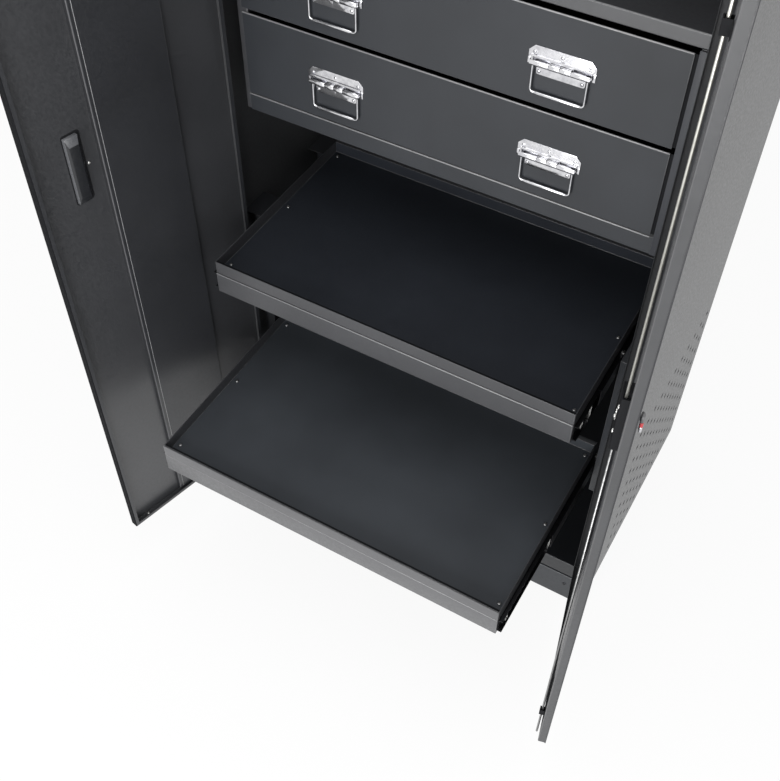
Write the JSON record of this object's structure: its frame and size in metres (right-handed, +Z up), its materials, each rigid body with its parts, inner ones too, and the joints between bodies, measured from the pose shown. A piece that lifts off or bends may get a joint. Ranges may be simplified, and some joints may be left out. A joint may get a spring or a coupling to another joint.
{
  "type": "tall storage cabinet",
  "caption": "Tall steel storage cabinet with swing doors, a lock with rods, drawers with drop handles, roll-out trays on ball runners and vent holes in its sides.",
  "frame": {"origin": "on the floor, under the middle of the carcass footprint, at the centre of the base's underside", "axes": "+X to the right seen from the front, +Y to the back, +Z up"},
  "size_m": [1.0886, 1.0738, 1.981],
  "materials": {
    "charcoal_coat": "semi-gloss powder coat",
    "tray_coat": "semi-gloss powder coat",
    "black_plastic": "moulded, fine grain",
    "zinc_plate": "bright zinc plate",
    "runner_steel": "dark zinc plate",
    "chrome_plate": "polished"
  },
  "bodies": {
    "carcass": {"back_panel": "charcoal_coat", "drawer_rail": "charcoal_coat", "drawer_shelf": "charcoal_coat", "floor_pan": "charcoal_coat", "left_drawer_housing": "charcoal_coat", "left_frame_hinge_leaf": "zinc_plate", "left_front_upright": "charcoal_coat", "left_hinge_pin": "zinc_plate", "left_rear_upright": "charcoal_coat", "left_side_panel": "charcoal_coat", "lower_tray_left_outer_runner": "runner_steel", "lower_tray_right_outer_runner": "runner_steel", "plinth_pan": "charcoal_coat", "right_drawer_housing": "charcoal_coat", "right_frame_hinge_leaf": "zinc_plate", "right_front_upright": "charcoal_coat", "right_hinge_pin": "zinc_plate", "right_rear_upright": "charcoal_coat", "right_side_panel": "charcoal_coat", "top_pan": "charcoal_coat", "upper_tray_left_outer_runner": "runner_steel", "upper_tray_right_outer_runner": "runner_steel"},
    "left_door": {"left_door_hinge_leaf": "zinc_plate", "left_door_panel": "charcoal_coat", "left_door_pull": "black_plastic", "left_door_stiffener": "charcoal_coat"},
    "right_door": {"lock_case": "zinc_plate", "lower_rod_guide": "zinc_plate", "right_door_hinge_leaf": "zinc_plate", "right_door_panel": "charcoal_coat", "right_door_stiffener": "charcoal_coat", "upper_rod_guide": "zinc_plate"},
    "lock_handle": {"lock_handle": "black_plastic"},
    "lower_drawer": {"lower_drawer_box": "charcoal_coat", "lower_drawer_front": "charcoal_coat", "lower_drawer_left_handle_plate": "chrome_plate", "lower_drawer_right_handle_plate": "chrome_plate"},
    "lower_drawer_left_bail": {"lower_drawer_left_bail": "chrome_plate"},
    "lower_drawer_right_bail": {"lower_drawer_right_bail": "chrome_plate"},
    "lower_lock_rod": {"lower_lock_rod": "zinc_plate"},
    "lower_tray": {"lower_tray_frame": "charcoal_coat", "lower_tray_left_inner_runner": "runner_steel", "lower_tray_pan": "tray_coat", "lower_tray_right_inner_runner": "runner_steel"},
    "lower_tray_middle_slides": {"lower_tray_left_middle_runner": "runner_steel", "lower_tray_right_middle_runner": "runner_steel"},
    "upper_drawer": {"upper_drawer_box": "charcoal_coat", "upper_drawer_front": "charcoal_coat", "upper_drawer_left_handle_plate": "chrome_plate", "upper_drawer_right_handle_plate": "chrome_plate"},
    "upper_drawer_left_bail": {"upper_drawer_left_bail": "chrome_plate"},
    "upper_drawer_right_bail": {"upper_drawer_right_bail": "chrome_plate"},
    "upper_lock_rod": {"upper_lock_rod": "zinc_plate"},
    "upper_tray": {"upper_tray_frame": "charcoal_coat", "upper_tray_left_inner_runner": "runner_steel", "upper_tray_pan": "tray_coat", "upper_tray_right_inner_runner": "runner_steel"},
    "upper_tray_middle_slides": {"upper_tray_left_middle_runner": "runner_steel", "upper_tray_right_middle_runner": "runner_steel"}
  },
  "joints": [
    {"name": "left_door_hinge", "type": "hinge", "parent": "carcass", "child": "left_door", "pos_m": [-0.443, -0.322, 0.9], "axis": [0, 0, -1], "range_deg": [-10.5, 71.5]},
    {"name": "right_door_hinge", "type": "hinge", "parent": "carcass", "child": "right_door", "pos_m": [0.443, -0.322, 0.9], "axis": [0, 0, 1], "range_deg": [-10.8, 71.2]},
    {"name": "lock_turn", "type": "hinge", "parent": "right_door", "child": "lock_handle", "pos_m": [0.53743, -0.72532, 1.207], "axis": [0.9711, 0.2385, 0], "range_deg": [0, 90]},
    {"name": "upper_rod_slide", "type": "slide", "parent": "right_door", "child": "upper_lock_rod", "axis": [0, 0, 1], "range_m": [0, 0.02]},
    {"name": "lower_rod_slide", "type": "slide", "parent": "right_door", "child": "lower_lock_rod", "axis": [0, 0, -1], "range_m": [0, 0.02]},
    {"name": "lower_tray_slide", "type": "slide", "parent": "carcass", "child": "lower_tray", "axis": [0, -1, 0], "range_m": [-0.448, 0.009]},
    {"name": "lower_tray_middle_slide", "type": "slide", "parent": "carcass", "child": "lower_tray_middle_slides", "axis": [0, -1, 0], "range_m": [-0.224, 0.0045]},
    {"name": "upper_tray_slide", "type": "slide", "parent": "carcass", "child": "upper_tray", "axis": [0, -1, 0], "range_m": [-0.204, 0.253]},
    {"name": "upper_tray_middle_slide", "type": "slide", "parent": "carcass", "child": "upper_tray_middle_slides", "axis": [0, -1, 0], "range_m": [-0.102, 0.1265]},
    {"name": "lower_drawer_slide", "type": "slide", "parent": "carcass", "child": "lower_drawer", "axis": [0, -1, 0], "range_m": [0, 0.36]},
    {"name": "upper_drawer_slide", "type": "slide", "parent": "carcass", "child": "upper_drawer", "axis": [0, -1, 0], "range_m": [0, 0.36]},
    {"name": "lower_drawer_left_bail_hinge", "type": "hinge", "parent": "lower_drawer", "child": "lower_drawer_left_bail", "pos_m": [-0.2195, -0.2917, 1.224], "axis": [-1, 0, 0], "range_deg": [0, 90]},
    {"name": "lower_drawer_right_bail_hinge", "type": "hinge", "parent": "lower_drawer", "child": "lower_drawer_right_bail", "pos_m": [0.2005, -0.2917, 1.224], "axis": [-1, 0, 0], "range_deg": [0, 90]},
    {"name": "upper_drawer_left_bail_hinge", "type": "hinge", "parent": "upper_drawer", "child": "upper_drawer_left_bail", "pos_m": [-0.2195, -0.2917, 1.401], "axis": [-1, 0, 0], "range_deg": [0, 90]},
    {"name": "upper_drawer_right_bail_hinge", "type": "hinge", "parent": "upper_drawer", "child": "upper_drawer_right_bail", "pos_m": [0.2005, -0.2917, 1.401], "axis": [-1, 0, 0], "range_deg": [0, 90]}
  ],
  "couplings": [
    {"joint": "lock_turn", "follows": "lower_rod_slide", "rad_per_m": 78.539},
    {"joint": "upper_rod_slide", "follows": "lower_rod_slide", "ratio": 1},
    {"joint": "lower_tray_middle_slide", "follows": "lower_tray_slide", "ratio": 0.5},
    {"joint": "upper_tray_middle_slide", "follows": "upper_tray_slide", "ratio": 0.5}
  ]
}
